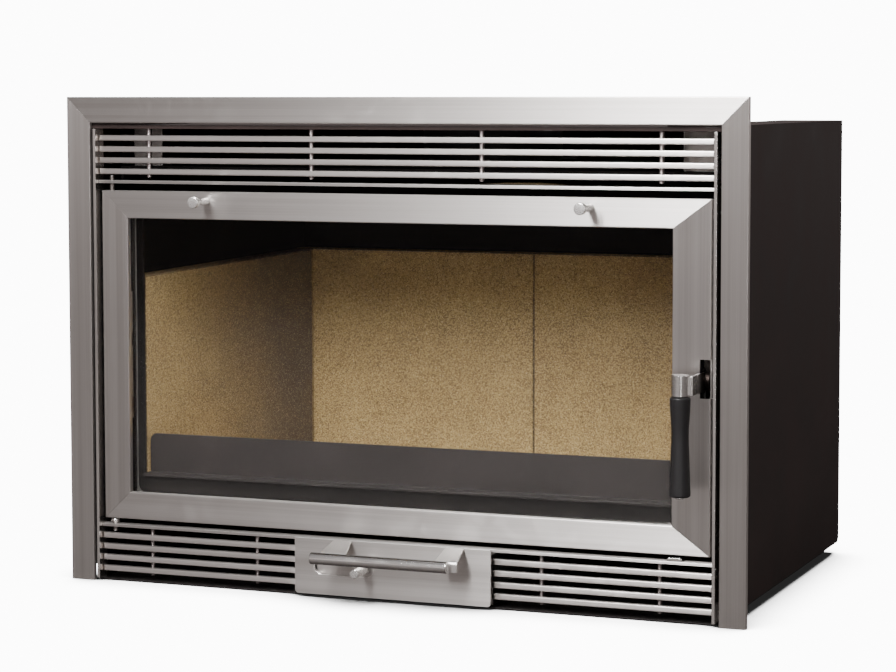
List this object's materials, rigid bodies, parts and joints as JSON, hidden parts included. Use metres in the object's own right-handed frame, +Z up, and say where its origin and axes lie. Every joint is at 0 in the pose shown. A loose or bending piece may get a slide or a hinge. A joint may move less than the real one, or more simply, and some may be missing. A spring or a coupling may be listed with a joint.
{
  "type": "fireplace insert",
  "caption": "Wood-burning fireplace insert: steel casing and trim frame, glazed side-hung door with lift latch, lined firebox, grilles, ash drawer and air controls.",
  "frame": {"origin": "centre of the bounding box's footprint, at the hearth surface the insert stands on", "axes": "+X to the right seen from the front, +Y to the rear, +Z up"},
  "size_m": [0.76, 0.5032, 0.526],
  "materials": {
    "stainless": "brushed",
    "bright_steel": "turned",
    "raw_steel": "mill",
    "casing_paint": "matte",
    "stove_paint": "matte",
    "cast_iron": "rough",
    "vermiculite": "pressed",
    "rope": "braided",
    "grip": "satin",
    "glass": "clear"
  },
  "bodies": {
    "insert": {"trim_top": "stainless", "trim_left": "stainless", "trim_right": "stainless", "casing_left": "casing_paint", "casing_right": "casing_paint", "casing_top": "casing_paint", "casing_back": "casing_paint", "base_pan": "stove_paint", "surround_left": "stainless", "surround_right": "stainless", "upper_rail": "stainless", "lower_rail": "stainless", "door_rest_pad": "bright_steel", "upper_grille": "stainless", "lower_grille_left": "stainless", "lower_grille_right": "stainless", "front_box": "stove_paint", "firebox_shell": "stove_paint", "flue_collar": "cast_iron", "brick_left": "vermiculite", "brick_right": "vermiculite", "brick_back_left": "vermiculite", "brick_back_right": "vermiculite", "brick_floor": "vermiculite", "grate": "cast_iron", "baffle": "vermiculite", "log_guard": "stove_paint", "plenum_bracket_left": "raw_steel", "plenum_bracket_right": "raw_steel", "hinge_bearing": "bright_steel", "latch_catch": "raw_steel", "drawer_runner_left": "raw_steel", "drawer_runner_right": "raw_steel"},
    "door": {"fascia_top": "stainless", "fascia_bottom": "stainless", "fascia_hinge": "stainless", "fascia_latch": "stainless", "door_core": "stove_paint", "door_glass": "glass", "glass_clip_top": "raw_steel", "glass_clip_bottom": "raw_steel", "glass_clip_hinge": "raw_steel", "glass_clip_latch": "raw_steel", "door_rope": "rope", "hinge_pin_top": "bright_steel", "hinge_pin_bottom": "bright_steel", "latch_pivot_pin": "bright_steel"},
    "latch": {"latch_lever": "bright_steel", "handle_grip": "grip", "grip_end_cap": "bright_steel"},
    "valve_left": {"air_valve_left": "bright_steel"},
    "valve_right": {"air_valve_right": "bright_steel"},
    "drawer": {"drawer_front": "stainless", "ash_pan": "stainless", "drawer_handle": "stainless", "drawer_strap_left": "stainless", "drawer_strap_right": "stainless"},
    "air_slide": {"air_slider": "stainless", "air_knob": "bright_steel"}
  },
  "joints": [
    {"name": "door_hinge", "type": "hinge", "parent": "insert", "child": "door", "pos_m": [-0.332, -0.19783, 0.24675], "axis": [0, 0, -1], "range_deg": [0, 100]},
    {"name": "handle_lift", "type": "hinge", "parent": "door", "child": "latch", "pos_m": [0.3339, -0.19193, 0.2435], "axis": [-1, 0, 0], "range_deg": [0, 35]},
    {"name": "window_air_left", "type": "slide", "parent": "door", "child": "valve_left", "axis": [0, -1, 0], "range_m": [0, 0.01]},
    {"name": "window_air_right", "type": "slide", "parent": "door", "child": "valve_right", "axis": [0, -1, 0], "range_m": [0, 0.01]},
    {"name": "ash_drawer", "type": "slide", "parent": "insert", "child": "drawer", "axis": [0, -1, 0], "range_m": [0, 0.25]},
    {"name": "primary_air", "type": "slide", "parent": "drawer", "child": "air_slide", "axis": [-1, 0, 0], "range_m": [0, 0.05]}
  ]
}
